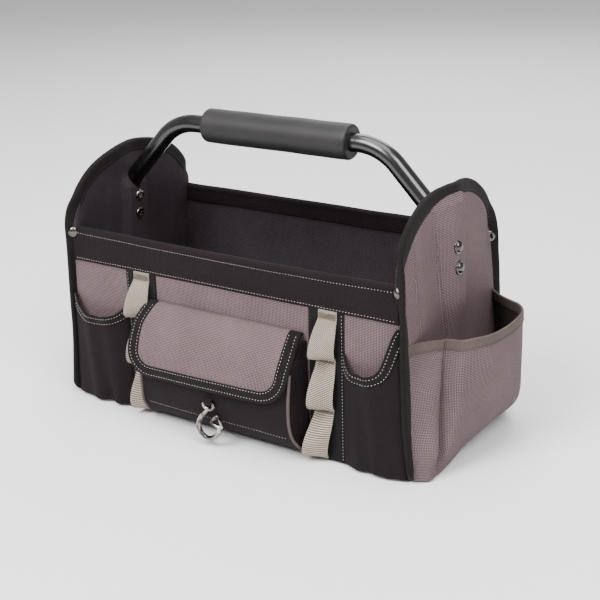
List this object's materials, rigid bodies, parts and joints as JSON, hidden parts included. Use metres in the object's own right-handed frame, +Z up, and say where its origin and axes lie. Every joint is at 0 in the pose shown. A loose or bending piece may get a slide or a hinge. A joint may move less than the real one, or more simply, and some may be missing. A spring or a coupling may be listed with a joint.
{
  "type": "open tool tote",
  "caption": "Open-top fabric tool tote with a bolted steel tube handle, foam grip, arched ends, flap pocket, tool loops, side and end pockets and a hanging key hook.",
  "frame": {"origin": "middle of the underside of the base panel, on the floor that the bag stands on", "axes": "+X to the right along the bag's length, seen from the side with the flap pocket; front (flap pocket) at -Y; +Z up to the handle"},
  "size_m": [0.5338, 0.2527, 0.3195],
  "materials": {
    "black_fabric": "coated polyester canvas, matt",
    "grey_fabric": "coated polyester canvas, fine twill, matt",
    "black_tape": "ribbed grosgrain tape",
    "grey_tape": "grosgrain tape, warm grey",
    "pale_webbing": "woven webbing, pale beige grey",
    "stiffening_board": "polypropylene board",
    "tube_paint": "gloss black powder coat",
    "foam": "closed-cell foam, matt",
    "screw_metal": "dark nickel plate, polished",
    "rivet_metal": "gunmetal plate",
    "nickel": "bright nickel plate",
    "closure_tape": "hook-and-loop tape"
  },
  "bodies": {
    "bag": {"base_panel": "black_fabric", "base_board": "stiffening_board", "front_panel": "black_fabric", "back_panel": "black_fabric", "front_band": "black_fabric", "back_band": "black_fabric", "front_facing": "grey_fabric", "back_facing": "black_fabric", "end_skin_right": "grey_fabric", "end_skin_left": "grey_fabric", "end_lining_right": "black_fabric", "end_lining_left": "black_fabric", "end_boards_right": "stiffening_board", "end_boards_left": "stiffening_board", "end_binding_right": "black_tape", "end_binding_left": "black_tape", "end_pocket_right": "grey_fabric", "end_pocket_left": "grey_fabric", "end_pocket_binding_right": "grey_tape", "end_pocket_binding_left": "grey_tape", "handle_tube": "tube_paint", "handle_grip": "foam", "handle_screws": "screw_metal", "handle_barrel_nuts": "screw_metal", "corner_rivet_caps": "rivet_metal", "corner_rivet_rings": "rivet_metal", "webbing_strip_right": "black_tape", "webbing_strip_left": "black_tape", "tool_loops_right": "pale_webbing", "tool_loops_left": "pale_webbing", "front_pocket_right": "black_fabric", "front_pocket_left": "black_fabric", "front_pocket_binding_right": "black_tape", "front_pocket_binding_left": "black_tape", "flap_pocket_face": "black_fabric", "flap_pocket_gusset": "black_fabric", "flap_pocket_piping": "grey_tape", "pocket_loop_patch": "closure_tape", "hook_tab": "black_tape", "inner_pocket_row": "black_fabric", "inner_pocket_binding": "black_tape", "back_pocket_row": "black_fabric", "back_pocket_binding": "black_tape"},
    "flap_body": {"flap": "grey_fabric", "flap_binding": "black_tape", "flap_hook_patch": "closure_tape"},
    "hook_body": {"key_hook": "nickel"}
  },
  "joints": [
    {"name": "flap_hinge", "type": "hinge", "parent": "bag", "child": "flap_body", "pos_m": [0, -0.103, 0.1325], "axis": [-1, 0, 0], "range_deg": [0, 100]},
    {"name": "hook_swing", "type": "hinge", "parent": "bag", "child": "hook_body", "pos_m": [0, -0.1351, 0.05], "axis": [-1, 0, 0], "range_deg": [-2, 90]}
  ]
}
